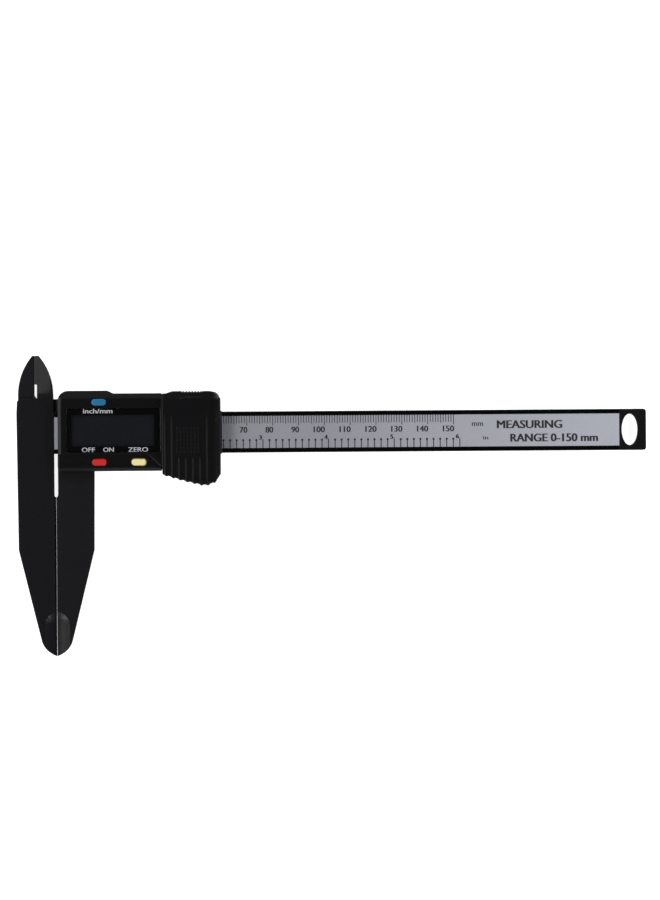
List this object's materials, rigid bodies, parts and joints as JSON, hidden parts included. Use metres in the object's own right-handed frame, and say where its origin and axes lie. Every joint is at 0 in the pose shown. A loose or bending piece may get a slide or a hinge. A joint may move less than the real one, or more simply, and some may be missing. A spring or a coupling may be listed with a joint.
{
  "type": "digital caliper",
  "caption": "Digital caliper in black plastic: long outside jaws, crossed inside jaws, sliding display head with ribbed battery cover, silver printed scale and hanging hole.",
  "frame": {"origin": "bottom centre of the closed caliper's bounding box, with the caliper lying on its back", "axes": "+X along the beam towards its free end, +Y towards the inside jaws, +Z out of the display"},
  "size_m": [0.2436, 0.1164, 0.0153],
  "materials": {
    "black_body": "fine satin texture, fibre-filled nylon",
    "black_housing": "satin",
    "window": "clear panel with a gloss black printed border",
    "label_film": "silver printed film, satin",
    "circuit_board": "green solder resist on glass fibre",
    "lcd": "blank liquid-crystal glass, dark grey",
    "soft_rubber": "matte silicone",
    "epoxy": "gloss black drop",
    "ceramic_part": "tan ceramic",
    "steel": "plain zinc-plated steel",
    "spring_steel": "bright rolled strip",
    "cell_can": "bright nickel",
    "blue_key": "satin blue",
    "red_key": "satin red",
    "yellow_key": "satin pale yellow"
  },
  "bodies": {
    "beam": {"main_beam": "black_body", "scale_stator_board": "circuit_board", "scale_label": "label_film", "travel_stop_screw": "steel"},
    "slider": {"sliding_jaw_frame": "black_body", "gib_spring": "spring_steel", "display_housing": "black_housing", "end_wiper": "soft_rubber", "display_window": "window", "lcd_panel": "lcd", "lcd_holder": "black_housing", "zebra_strip_1": "soft_rubber", "zebra_strip_2": "soft_rubber", "main_board": "circuit_board", "chip_epoxy_drop": "epoxy", "capacitor_1": "ceramic_part", "capacitor_2": "ceramic_part", "button_cell": "cell_can", "battery_contact_positive": "spring_steel", "battery_contact_negative": "spring_steel", "case_screw_1": "steel", "case_screw_2": "steel", "case_screw_3": "steel", "case_screw_4": "steel", "board_screw_1": "steel", "board_screw_2": "steel", "unit_button_pad": "soft_rubber", "power_button_pad": "soft_rubber", "zero_button_pad": "soft_rubber"},
    "battery_cover": {"battery_cover": "black_body"},
    "unit_button": {"unit_button": "blue_key"},
    "power_button": {"power_button": "red_key"},
    "zero_button": {"zero_button": "yellow_key"}
  },
  "joints": [
    {"name": "slider_travel", "type": "slide", "parent": "beam", "child": "slider", "axis": [1, 0, 0], "range_m": [0, 0.15]},
    {"name": "battery_cover_slide", "type": "slide", "parent": "slider", "child": "battery_cover", "axis": [1, 0, 0], "range_m": [0, 0.023]},
    {"name": "unit_button_press", "type": "slide", "parent": "slider", "child": "unit_button", "axis": [0, 0, -1], "range_m": [0, 0.0006], "stiffness_N_per_m": 800},
    {"name": "power_button_press", "type": "slide", "parent": "slider", "child": "power_button", "axis": [0, 0, -1], "range_m": [0, 0.0006], "stiffness_N_per_m": 800},
    {"name": "zero_button_press", "type": "slide", "parent": "slider", "child": "zero_button", "axis": [0, 0, -1], "range_m": [0, 0.0006], "stiffness_N_per_m": 800}
  ]
}
